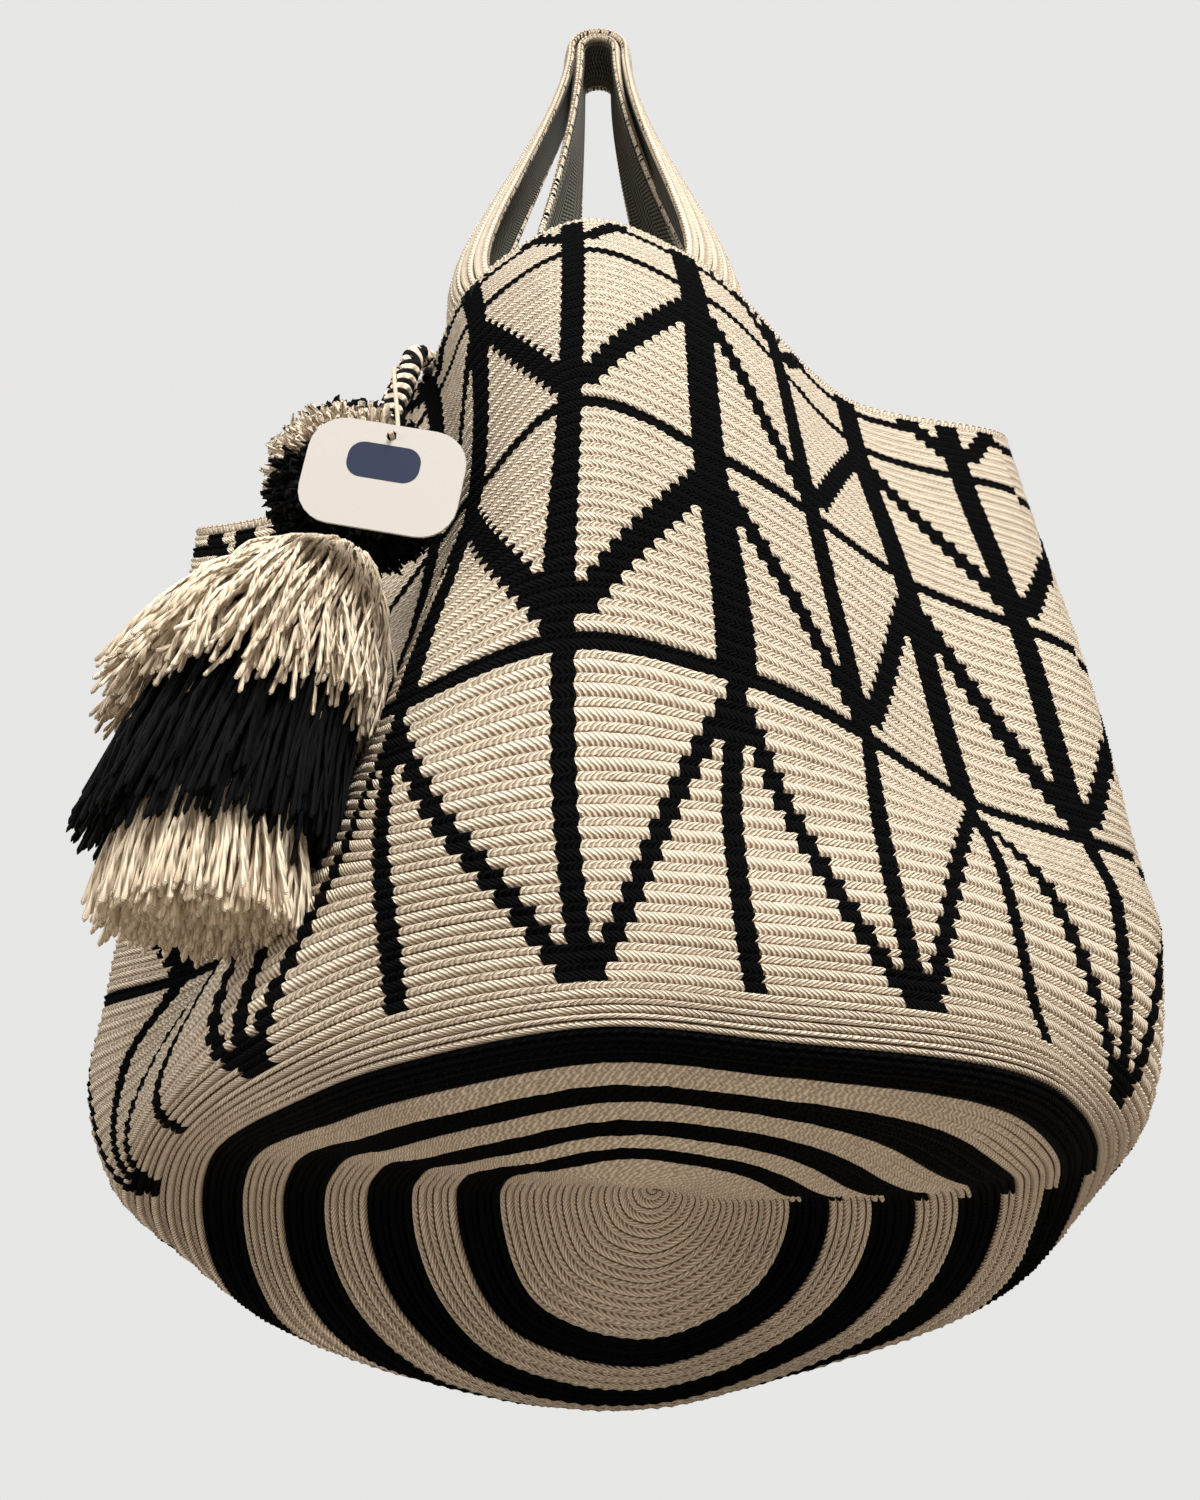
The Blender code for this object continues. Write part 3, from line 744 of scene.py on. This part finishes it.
def add_rope(patch, line, first_way, second_way, radii, loops, cream_at=None):
    """A chain of slanted loops along a line; the two ways square to the line are its section's axes."""
    steps = len(line)
    angles = np.arange(ROPE_SIDES + 1) * 2 * math.pi / ROPE_SIDES
    travel = np.linspace(0, loops, steps)
    turns = travel[None, :] + ROPE_SLANT * np.sin(angles)[:, None]
    swell = 1 - ROPE_DEPTH * (0.5 + 0.5 * np.cos(2 * math.pi * turns))
    section = (np.cos(angles)[:, None, None] * first_way[None] * radii[0]
               + np.sin(angles)[:, None, None] * second_way[None] * radii[1])
    tint = np.ones((ROPE_SIDES, steps - 1, 2))
    tint[..., 1] = np.repeat(rng.random(loops + 1), math.ceil(steps / loops) + 1)[:steps - 1]
    if cream_at is not None:
        tint[..., 0] = cream_at(angles[:-1, None], travel[None, :-1])
    in_chain = ROPE_CHAIN[0] + ROPE_CHAIN[1] * angles[:, None] / (2 * math.pi)
    patch.add(line[None] + section * swell[..., None], uv_grid(travel[None, :], in_chain), tint, flip=True)


def make_rim(finish):
    """The roped edge that closes the last round."""
    columns = np.linspace(0, COLUMNS, ROUND_STITCHES * RIM_STEPS + 1)
    grid = net_surface(columns[None, :], np.array([SHAPE_ROWS - 0.6, SHAPE_ROWS - 0.3, SHAPE_ROWS])[:, None])
    outs = normals_of(grid)[-1]
    rise = grid[-1] - grid[0]
    rise /= np.linalg.norm(rise, axis=1, keepdims=True)
    patch = Patchwork()
    add_rope(patch, grid[-1] - outs * RIM_INSET - rise * RIM_DROP, outs, rise, RIM_RADII, ROUND_STITCHES)
    wear(patch.build("net_rim", finish), "bag", "cream_crochet", "bag_net")


# Handles

def net_point(column, row):
    """A point of the net's outside and the direction out of the net there."""
    step = 0.1
    low_row = min(row, SHAPE_ROWS - step)
    grid = net_surface(np.array([[column - step, column, column + step]]),
                       np.array([[low_row - step], [low_row], [low_row + step]]))
    out = np.cross(grid[1, 2] - grid[1, 0], grid[2, 1] - grid[0, 1])
    return net_surface(column, row), out / np.linalg.norm(out)


def handle_grid(ends, radius, pulls, bows):
    """Outer face of a handle, from its left seam over the hook to its right seam."""
    across = np.linspace(0, 1, BAND_LINES)
    radii = radius + CURL * 4 * across * (1 - across)
    reach = HOOK_REACH * across
    outwards = (bows[0] * (1 - across) * (1 - 2 * across) + bows[1] * 4 * across * (1 - across)
                + bows[2] * across * (2 * across - 1))
    fall = 1 / BOW_PEAK - 1
    peak = BOW_PEAK * (1 - BOW_PEAK) ** fall
    pull = np.array([0, 0, pulls[1]])
    t = (np.arange(1, LEG_STEPS) / LEG_STEPS)[:, None]

    def over_hook(angle):
        return np.stack([radii * math.cos(angle), reach, radii * math.sin(angle) - HOOK_RADIUS], axis=1)

    def leg(near, far, tops, bowed):
        lines = []
        for column, top, bow in zip(near + (far - near) * across, tops, bowed):
            seam = []
            for row in np.linspace(SEAM_ROW, SHAPE_ROWS, SEAM_STEPS):
                point, out = net_point(column, row)
                seam.append(point - out * (WALL + SEAM_CLEARANCE))
            start = seam[-1]
            rise = (start - seam[0]) / np.linalg.norm(start - seam[0]) * pulls[0]
            run = between(start, top, rise, pull, t)
            run[:, 0] += bow * (t * (1 - t) ** fall)[:, 0] / peak
            lines.append(np.concatenate([seam, run]))
        return np.swapaxes(np.array(lines), 0, 1)

    up = leg(*ends[0], over_hook(math.pi), -outwards)
    down = leg(*ends[1], over_hook(0), outwards)
    top = np.array([over_hook(math.pi * (1 - k / HOOK_STEPS)) for k in range(HOOK_STEPS + 1)])
    return np.concatenate([up, top, down[::-1]])


def even_along(grid, count):
    """The same strip with evenly spaced lines."""
    travel = travel_along(grid[:, grid.shape[1] // 2])
    wanted = np.linspace(0, travel[-1], count)
    index = np.clip(np.searchsorted(travel, wanted) - 1, 0, len(travel) - 2)
    part = ((wanted - travel[index]) / (travel[index + 1] - travel[index]))[:, None, None]
    return grid[index] * (1 - part) + grid[index + 1] * part


def read_across(grid, places):
    """A line of the strip's points for each place across its width, from 0 to 1."""
    spots = np.clip(places, 0, 1) * (grid.shape[1] - 1)
    low = np.minimum(spots.astype(int), grid.shape[1] - 2)
    part = (spots - low)[None, :, None]
    return np.swapaxes(grid[:, low] * (1 - part) + grid[:, low + 1] * part, 0, 1)


def outward(grid):
    """Direction out of a handle's loop at each point, and whether the strip's own face looks out."""
    normals = np.cross(np.gradient(grid, axis=0), np.gradient(grid, axis=1))
    normals /= np.linalg.norm(normals, axis=2, keepdims=True)
    facing = np.sum(normals * (grid - grid.mean(axis=(0, 1))))
    return normals * math.copysign(1, facing), facing > 0


def add_sewn_edge(patch, middle, outs, place, beside, count):
    """The rope along one edge of a handle, with a few black sewing stitches on its inner side."""
    line, line_beside = read_across(middle, np.array([place, beside]))
    aside = line - line_beside
    aside /= np.linalg.norm(aside, axis=1, keepdims=True)
    way = read_across(outs, np.array([place]))[0]
    sewn = rng.random(count + 2) < SEWN_SHARE
    lean = SEWN_LEAN * rng.random(count + 2)

    def cream_at(angle, spot):
        loop = np.floor(spot).astype(int)
        on_thread = np.abs(np.mod(spot, 1.0) - SEWN_PLACE - lean[loop] * np.cos(angle)) < SEWN_WIDTH
        return 1.0 - (sewn[loop] & on_thread & (np.sin(angle) < SEWN_SIDE))

    add_rope(patch, line, aside, way, EDGE_RADII, count, cream_at)


def make_handle(side, ends, radius, pulls, bows, finish, webbing):
    """A band of crochet rows with roped edges, and the webbing inside it."""
    drawn = handle_grid(ends, radius, pulls, bows)
    length = travel_along(drawn[:, BAND_LINES // 2])[-1]
    count = round(length / STITCH_WIDTH)
    grid = even_along(drawn, 2 * count + 1)
    outs, turned = outward(grid)
    travel = np.arange(2 * count + 1) / 2
    relief = stitch_relief(count) - STITCH_SINK
    patch = Patchwork()
    for row in range(HANDLE_ROWS):
        places = (row + STITCH_PLACES) / HANDLE_ROWS
        strip = read_across(grid, places) + read_across(outs, places) * relief[..., None]
        tint = np.stack([np.ones(count), rng.random(count)], axis=-1)
        patch.add(strip, uv_grid(travel[None, :], row + STITCH_CELL[:, None]),
                  np.repeat(tint, 2, axis=0)[None], flip=not turned)
    back = read_across(grid - outs * (BAND - BACK_INSET), np.linspace(0, 1, BACK_LINES))
    back_rows = np.linspace(0, HANDLE_ROWS, BACK_LINES)
    patch.add(back, uv_grid(travel[None, :], back_rows[:, None]), np.array((1.0, BACK_TONE)), flip=turned)
    middle = even_along(grid - outs * BAND / 2, 4 * count + 1)
    middle_outs, _ = outward(even_along(grid, 4 * count + 1))
    for place, beside in BAND_EDGES:
        add_sewn_edge(patch, middle, middle_outs, place, beside, count)
    wear(patch.build(f"{side}_handle_crochet", finish), "bag", "cream_crochet", f"{side}_handle")
    make_lining(side, grid, outs, turned, length, webbing)


def make_lining(side, grid, outs, turned, length, webbing):
    """Webbing on the handle's inside, a little narrower than the band."""
    places = np.linspace(LINING_INSET, 1 - LINING_INSET, WEBBING_LINES)
    upper = read_across(grid - outs * (BAND + GAP), places)
    lower = read_across(grid - outs * (BAND + GAP + LINING), places)
    around = np.concatenate([upper, lower[::-1], upper[:1]])
    spread = np.linspace(0, travel_along(upper.mean(axis=1))[-1], WEBBING_LINES)
    spread = np.concatenate([spread, spread[::-1], [0]])
    travel = np.linspace(0, length, len(grid))
    patch = Patchwork()
    patch.add(around, uv_grid(travel[None, :], spread[:, None]), np.array((0.0, 0.5)), flip=not turned)
    wear(patch.build(f"{side}_handle_webbing", webbing), "bag", "olive_webbing", f"{side}_handle_lining")


# Loose yarn

def strand_frames(paths):
    """Two ways square to each strand at each of its points."""
    tangents = np.gradient(paths, axis=1)
    tangents /= np.linalg.norm(tangents, axis=2, keepdims=True)
    reference = np.where(np.abs(tangents[..., 2:3]) > 0.8, [1.0, 0.0, 0.0], [0.0, 0.0, 1.0])
    first = np.cross(tangents, reference)
    first /= np.linalg.norm(first, axis=2, keepdims=True)
    return first, np.cross(tangents, first)


def add_strands(patch, paths, radii, cream, tones, sides=4):
    """Many strands at once, each a thin tube along its own path."""
    first, second = strand_frames(paths)
    angles = (np.arange(sides + 1) * 2 * math.pi / sides)[:, None]
    lengths = np.linalg.norm(np.diff(paths, axis=1), axis=2).sum(axis=1)
    for k, path in enumerate(paths):
        ring = np.cos(angles)[..., None] * first[k][None] + np.sin(angles)[..., None] * second[k][None]
        travel = np.linspace(0, lengths[k] * YARN_TURNS, len(path))
        grid = path[None] + ring * radii[k][None, :, None]
        uv = uv_grid(angles / (2 * math.pi), travel[None, :])
        patch.add(grid, uv, np.array((float(cream[k]), tones[k])), flip=True)


def tapered(count, points, radius):
    """Radii for strands that keep their thickness and close at both ends."""
    profile = np.ones(points)
    profile[[0, -2, -1]] = YARN_ENDS
    return radius * profile[None, :] * (1 - YARN_UNEVEN / 2 + YARN_UNEVEN * rng.random((count, 1)))


def to_blunt_end(points, end):
    """Places along a strand, with one just before its cut end."""
    return np.concatenate([np.linspace(0, end, points - 1), [1.0]])


def shades(count, darkest):
    return darkest + (1 - darkest) * rng.random(count)


def skirt_paths(count, points, top, foot, tie_radius, foot_radius, ragged, wave_size, hollow):
    """Paths of a skirt's yarns: out from the tie, over and down to ragged ends."""
    top = np.array(top)
    foot = np.array(foot)
    turn = 2 * math.pi * rng.random(count)
    share = np.sqrt(hollow ** 2 + (1 - hollow ** 2) * rng.random(count))
    way = np.stack([np.cos(turn), np.sin(turn), np.zeros(count)], axis=1)
    start = top + way * tie_radius * (0.5 + 0.5 * share[:, None])
    end = foot + way * (foot_radius * share)[:, None]
    end[:, 2] += ragged * rng.standard_normal(count)
    bend = top * (1 - SKIRT_BEND) + foot * SKIRT_BEND + way * (foot_radius * share * SKIRT_BULGE)[:, None]
    bend[:, 2] += SKIRT_LIFT * (top[2] - foot[2]) * share
    end[:, :2] += SKIRT_WANDER * rng.standard_normal((count, 2))
    t = to_blunt_end(points, BLUNT_END)[None, :, None]
    paths = start[:, None] * (1 - t) ** 2 + bend[:, None] * 2 * t * (1 - t) + end[:, None] * t ** 2
    phase = 2 * math.pi * rng.random((count, 1, 3))
    return paths + wave_size * t * np.sin(phase + 2 * math.pi * t * (0.9 + 1.4 * rng.random((count, 1, 1))))


def make_skirt(finish, tier, colour, yarns, points, **shape):
    patch = Patchwork()
    paths = skirt_paths(yarns, points, **shape)
    radii = tapered(yarns, points, YARN_RADIUS)
    add_strands(patch, paths, radii, np.full(yarns, colour == "cream"), shades(yarns, SKIRT_DARKEST))
    wear(patch.build(f"skirt_{tier}_yarn", finish), "tassel", f"{colour}_yarn", f"skirt_{tier}")


def make_pompom(finish):
    """A ball of cut yarn: black at its top, a cream band, and black below."""
    height = 1 - 2 * (np.arange(TUFTS) + 0.5) / TUFTS
    turn = np.arange(TUFTS) * math.pi * (3 - math.sqrt(5))
    flat = np.sqrt(1 - height ** 2)
    ways = np.stack([flat * np.cos(turn), flat * np.sin(turn), height], axis=1)
    ways += TUFT_SCATTER * rng.standard_normal((TUFTS, 3))
    ways /= np.linalg.norm(ways, axis=1, keepdims=True)
    reach = POMPOM_RADIUS * (TUFT_REACH[0] + TUFT_REACH[1] * rng.standard_normal(TUFTS))
    t = TUFT_START + (1 - TUFT_START) * to_blunt_end(TUFT_POINTS, TUFT_BLUNT)
    paths = np.array(POMPOM_CENTRE) + ways[:, None] * (reach[:, None] * t)[..., None]
    paths[:, 1:] += TUFT_WANDER * rng.standard_normal((TUFTS, TUFT_POINTS - 1, 3)) * t[None, 1:, None]
    level = ways[:, 2] - CREAM_TILT * ways[:, 0] + CREAM_MIX * rng.standard_normal(TUFTS)
    cream = (level > CREAM_LEVELS[0]) & (level < CREAM_LEVELS[1]) & (ways[:, 0] < CREAM_SIDE)
    patch = Patchwork()
    add_strands(patch, paths, tapered(TUFTS, TUFT_POINTS, TUFT_RADIUS), cream, shades(TUFTS, TUFT_DARKEST))
    angles = np.linspace(0, 2 * math.pi, CORE_PLACES)
    lift = np.linspace(-math.pi / 2, math.pi / 2, CORE_LINES)[:, None]
    core = np.stack(np.broadcast_arrays(np.cos(lift) * np.cos(angles), np.cos(lift) * np.sin(angles),
                                        np.sin(lift)), axis=-1)
    core = np.array(POMPOM_CENTRE) + core * POMPOM_RADIUS * CORE_SHARE
    patch.add(core, np.zeros((CORE_LINES, CORE_PLACES, 2)), np.array((0.0, 0.2)))
    wear(patch.build("pompom_yarn", finish), "tassel", "black_yarn", "pompom")


# The cord

def cord_route():
    """Where the cord leaves the knot and where it meets the pompom."""
    start = np.array(KNOT)
    pompom = np.array(POMPOM_CENTRE)
    along = (pompom - start) / np.linalg.norm(pompom - start)
    top = start + along * (KNOT_RADIUS + GAP)
    foot = pompom - along * (POMPOM_RADIUS + GAP)
    return top, foot


def twist_strands(name, line, offset, radius, pitch, finish):
    """Two black and two cream strands that wind round a line."""
    travel = travel_along(line)
    first, second = (ways[0] for ways in strand_frames(line[None]))
    paths = []
    for k in range(len(CORD_CREAM)):
        angle = (2 * math.pi * (k / len(CORD_CREAM) + travel / pitch))[:, None]
        paths.append(line + offset * (np.cos(angle) * first + np.sin(angle) * second))
    paths = np.array(paths)
    patch = Patchwork()
    add_strands(patch, paths, np.full(paths.shape[:2], radius), CORD_CREAM, np.full(len(paths), CORD_TONE),
                sides=CORD_SIDES)
    return patch.build(name, finish)


def make_cord(finish):
    """The cord from the knot to the pompom."""
    top, foot = cord_route()
    line = np.array([top + (foot - top) * t for t in np.linspace(0, 1, 61)])
    cord = twist_strands("cord_twist", line, CORD_OFFSET, CORD_DIAMETER / 2 - CORD_OFFSET, CORD_PITCH, finish)
    wear(cord, "tassel", "twisted_cord", "tassel_cord")
    tuple(top)


def make_knot(finish):
    """The cord arches over and goes back into the net under the rim."""
    top, foot = cord_route()
    along = (top - foot) / np.linalg.norm(top - foot)
    knot = np.array(KNOT)
    inward = np.array(ARCH_INWARD) / np.linalg.norm(ARCH_INWARD)
    marks = np.array([top] + [knot + along * up + inward * back for up, back in ARCH_MARKS])
    travel = travel_along(marks)
    line = cubic(travel, marks, np.linspace(0, travel[-1], 41))
    arch = twist_strands("cord_arch", line, ARCH_OFFSET, ARCH_RADIUS, -CORD_PITCH, finish)
    tuple(top)
    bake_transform(arch)
    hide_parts("cord_knot")


def make_seam(side, end, columns, finish):
    """Slanted black stitches that hold one end of a handle, sunk between the net's last rows."""
    paths = []
    for column in np.linspace(*columns, SEAM_STITCHES):
        low, high = column + SEAM_WANDER[0] * rng.standard_normal(2) + SEAM_SLANT
        rows = np.linspace(*(SEAM_ROWS + SEAM_WANDER[1] * rng.standard_normal(2)), SEAM_POINTS)
        line = net_surface(np.linspace(low, high, SEAM_POINTS), rows)
        height = SEAM_HEIGHT * np.sin(np.linspace(*SEAM_ARCH, SEAM_POINTS))[:, None]
        paths.append(line + net_point(column, rows[2])[1] * height)
    patch = Patchwork()
    radii = tapered(SEAM_STITCHES, SEAM_POINTS, SEAM_YARN)
    add_strands(patch, np.array(paths), radii, np.zeros(SEAM_STITCHES), rng.random(SEAM_STITCHES), sides=6)
    stitches = patch.build(f"{side}_handle_stitches_{end}", finish)
    wear(stitches, "bag", "black_yarn", f"{side}_handle_seam_{end}")


# The tag

def tag_place():
    return (Matrix.Translation(TAG_CENTRE) @ Matrix.Rotation(TAG_LEAN, 4, "X")
            @ Matrix.Rotation(TAG_TURN, 4, "Y") @ Matrix.Rotation(math.pi / 2, 4, "X"))


def string_route():
    """From the cord's front, down behind the card and through its hole."""
    top, foot = cord_route()
    start = top + (foot - top) * STRING_HEIGHT + np.array([0, -1, 0]) * (CORD_DIAMETER / 2 + STRING_DIAMETER)
    place = tag_place()
    hole = (0, TAG_SIZE[1] / 2 - TAG_HOLE_EDGE)
    front = np.array(place @ Vector((*hole, TAG_THICKNESS * 3)))
    back = np.array(place @ Vector((*hole, -TAG_THICKNESS * 3)))
    middle = (start + back) / 2 + np.array(STRING_BOW)
    route = np.array([start, middle, back, front])
    travel = travel_along(route)
    return cubic(travel, route, np.linspace(0, travel[-1], 31))


def new_curve(name, points, finish, **settings):
    """A curve through points by straight steps."""
    curve = bpy.data.curves.new(name, "CURVE")
    for key, value in settings.items():
        setattr(curve, key, value)
    spline = curve.splines.new("POLY")
    spline.points.add(len(points) - 1)
    for target, point in zip(spline.points, points):
        target.co = (*point, 1)
    curve.materials.append(finish)
    made = bpy.data.objects.new(name, curve)
    bpy.context.scene.collection.objects.link(made)
    return made


def make_string(finish):
    points = string_route()
    thread = new_curve("tag_thread", points, finish, dimensions="3D", bevel_depth=STRING_DIAMETER / 2,
                       bevel_resolution=3, use_fill_caps=True)
    wear(thread, "tag", "cream_yarn", "tag_string")
    length = travel_along(points)[-1]
    tuple(points[0])


def make_tag_print(finish):
    """A plain blue mark with round corners on the card's upper part."""
    outline = []
    for quarter in range(4):
        sign_x = 1 if quarter in (0, 3) else -1
        sign_y = 1 if quarter in (0, 1) else -1
        corner_x = PRINT_CENTRE[0] + sign_x * (PRINT_SIZE[0] / 2 - PRINT_CORNER)
        corner_y = PRINT_CENTRE[1] + sign_y * (PRINT_SIZE[1] / 2 - PRINT_CORNER)
        for k in range(9):
            angle = (quarter + k / 8) * math.pi / 2
            outline.append((corner_x + PRINT_CORNER * math.cos(angle),
                            corner_y + PRINT_CORNER * math.sin(angle), 0))
    mark = new_curve("tag_print", outline, finish, dimensions="2D", fill_mode="BOTH", extrude=PRINT_THICKNESS)
    mark.data.splines[0].use_cyclic_u = True
    mark.matrix_world = tag_place() @ Matrix.Translation((0, 0, TAG_THICKNESS / 2 + PRINT_RISE))
    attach(mark, "tag")


# Floor and surroundings

def add_world():
    """A world that lights softly and is seen as a pale backdrop."""
    world = bpy.data.worlds.new("studio")
    bpy.context.scene.world = world
    world.use_nodes = True
    tree = world.node_tree
    tree.nodes.clear()
    seen = add_node(tree, "ShaderNodeLightPath").outputs["Is Camera Ray"]
    lit = add_node(tree, "ShaderNodeBackground", {"Color": (*WORLD_COLOUR, 1), "Strength": WORLD_STRENGTH})
    shown = add_node(tree, "ShaderNodeBackground", {"Color": (*BACKDROP, 1), "Strength": 1.0})
    mixed = add_node(tree, "ShaderNodeMixShader", {0: seen, 1: lit.outputs[0], 2: shown.outputs[0]})
    add_node(tree, "ShaderNodeOutputWorld", {"Surface": mixed.outputs[0]})


def add_floor():
    """A pale floor that fades into the backdrop."""
    bpy.ops.mesh.primitive_circle_add(vertices=96, radius=FLOOR_RADIUS, fill_type="NGON",
                                      location=(0, 0, FLOOR_HEIGHT))
    floor = bpy.context.object
    floor.name = "floor"
    finish = bpy.data.materials.new("pale_floor")
    finish.use_nodes = True
    tree = finish.node_tree
    tree.nodes.clear()
    place = add_node(tree, "ShaderNodeTexCoord").outputs["Object"]
    distance = add_node(tree, "ShaderNodeVectorMath", {0: place}, operation="LENGTH").outputs["Value"]
    fade = soft_step(tree, distance, *FLOOR_FADE)
    surface = add_node(tree, "ShaderNodeBsdfDiffuse", {"Color": (*FLOOR_SEEN, 1)})
    glow = add_node(tree, "ShaderNodeEmission", {"Color": (*BACKDROP, 1), "Strength": 1.0})
    faded = add_node(tree, "ShaderNodeMixShader", {0: fade, 1: surface.outputs[0], 2: glow.outputs[0]})
    bounce = add_node(tree, "ShaderNodeBsdfDiffuse", {"Color": (*FLOOR_BOUNCE, 1)})
    seen = add_node(tree, "ShaderNodeLightPath").outputs["Is Camera Ray"]
    mixed = add_node(tree, "ShaderNodeMixShader", {0: seen, 1: bounce.outputs[0], 2: faded.outputs[0]})
    add_node(tree, "ShaderNodeOutputMaterial", {"Surface": mixed.outputs[0]})
    floor.data.materials.append(finish)


bpy.context.scene.view_settings.view_transform = "Standard"
add_camera()
two_colour = two_colour_material("twisted_yarn")
make_cord(two_colour)
make_string(plain_yarn_material("cream_thread", CREAM_SHADE_AND_DARK_TONE, CREAM_LIGHT))

crochet = crochet_material()
make_net(crochet)
make_net_inside(crochet)
make_rim(crochet)

webbing = webbing_material()
rear_radius = HOOK_RADIUS + LINING + GAP + BAND
front_radius = rear_radius + GAP + LINING + GAP + BAND
make_handle("front", FRONT_ENDS, front_radius, FRONT_PULLS, FRONT_BOWS, crochet, webbing)
make_handle("rear", REAR_ENDS, rear_radius, REAR_PULLS, REAR_BOWS, crochet, webbing)

make_knot(two_colour)
make_pompom(two_colour)
loose_yarn = {"cream": yarn_material("cream_tassel_yarn", YARN_SHADE_AND_DARK_TONE, CREAM_LIGHT),
              "black": yarn_material("black_tassel_yarn", BLACK_SHADE_AND_DARK_TONE, BLACK_LIGHT)}
for skirt in SKIRTS:
    make_skirt(loose_yarn[skirt["colour"]], **skirt)
for side, ends in (("front", FRONT_ENDS), ("rear", REAR_ENDS)):
    for end, columns in zip(("left", "right"), ends):
        make_seam(side, end, columns, loose_yarn["black"])

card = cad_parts["hang_tag"].data.materials
card.clear()
card.append(card_material("tag_card", CARD_WHITE))
make_tag_print(card_material("tag_blue", CARD_BLUE))

add_world()
add_floor()
for lamp in LAMPS:
    add_lamp(*lamp)
